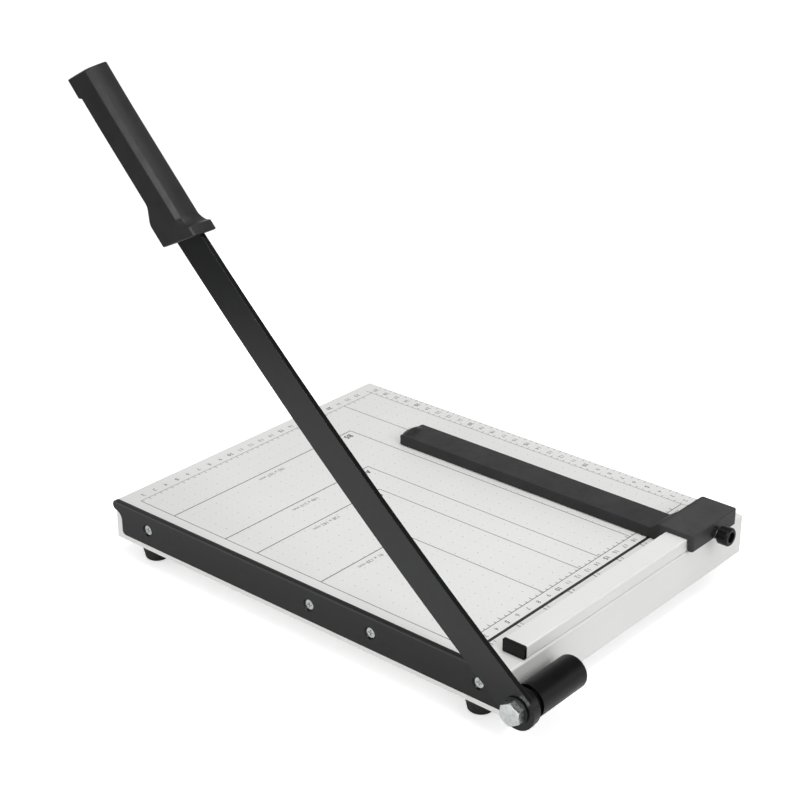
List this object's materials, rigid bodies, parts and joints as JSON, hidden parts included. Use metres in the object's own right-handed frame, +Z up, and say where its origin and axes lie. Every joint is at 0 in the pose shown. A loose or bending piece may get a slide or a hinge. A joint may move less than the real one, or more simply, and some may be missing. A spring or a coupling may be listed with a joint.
{
  "type": "paper cutter",
  "caption": "Guillotine paper cutter: white folded-steel bed on rubber feet, fixed edge blade, raised swinging blade arm with a grip, fence rail and a sliding clamped paper stop.",
  "frame": {"origin": "middle of the bed's footprint on the desk, at the bottom of the feet", "axes": "+X across the bed to the blade side, +Y away from the user along the blade towards the pivot, +Z up"},
  "size_m": [0.2636, 0.3504, 0.3316],
  "materials": {
    "white_enamel": "satin",
    "black_steel": "satin",
    "black_plastic": "matte",
    "zinc_steel": "satin",
    "spring_steel": "satin",
    "foot_rubber": "matte",
    "nylon": "matte"
  },
  "bodies": {
    "base": {"bed_plate": "white_enamel", "fixed_blade": "black_steel", "fixed_blade_screws": "zinc_steel", "fixed_blade_nuts": "zinc_steel", "fence_rail": "white_enamel", "fence_plug_near": "black_plastic", "fence_plug_far": "black_plastic", "fence_screws": "zinc_steel", "foot_front_left": "foot_rubber", "foot_front_right": "foot_rubber", "foot_back_left": "foot_rubber", "foot_back_right": "foot_rubber", "foot_screws": "zinc_steel", "foot_nuts": "zinc_steel", "pivot_bolt": "zinc_steel", "pivot_washer": "black_steel", "friction_washer": "nylon", "spring_seat": "black_plastic", "pivot_spring": "spring_steel", "spring_plate": "zinc_steel", "lock_nut": "zinc_steel", "spring_cap": "black_plastic"},
    "blade_arm": {"upper_blade": "black_steel", "blade_handle": "black_plastic", "handle_screws": "zinc_steel"},
    "paper_stop": {"paper_stop": "black_plastic", "clamp_insert": "black_steel"},
    "clamp_pad": {"clamp_pad": "nylon"},
    "clamp_screw": {"clamp_screw": "zinc_steel", "clamp_knob": "black_plastic"}
  },
  "joints": [
    {"name": "blade_pivot", "type": "hinge", "parent": "base", "child": "blade_arm", "pos_m": [0.1301, 0.1747, 0.0249], "axis": [-1, 0, 0], "range_deg": [-37.1, 43]},
    {"name": "stop_slide", "type": "slide", "parent": "base", "child": "paper_stop", "axis": [1, 0, 0], "range_m": [-0.01, 0.16]},
    {"name": "clamp_pad_travel", "type": "slide", "parent": "paper_stop", "child": "clamp_pad", "axis": [0, -1, 0], "range_m": [0, 0.001]},
    {"name": "clamp_turn", "type": "hinge", "parent": "clamp_pad", "child": "clamp_screw", "pos_m": [-0.0841, 0.17, 0.0438], "axis": [0, -1, 0], "range_deg": [0, 514.3]}
  ],
  "couplings": [
    {"joint": "clamp_turn", "follows": "clamp_pad_travel", "rad_per_m": 8976}
  ]
}
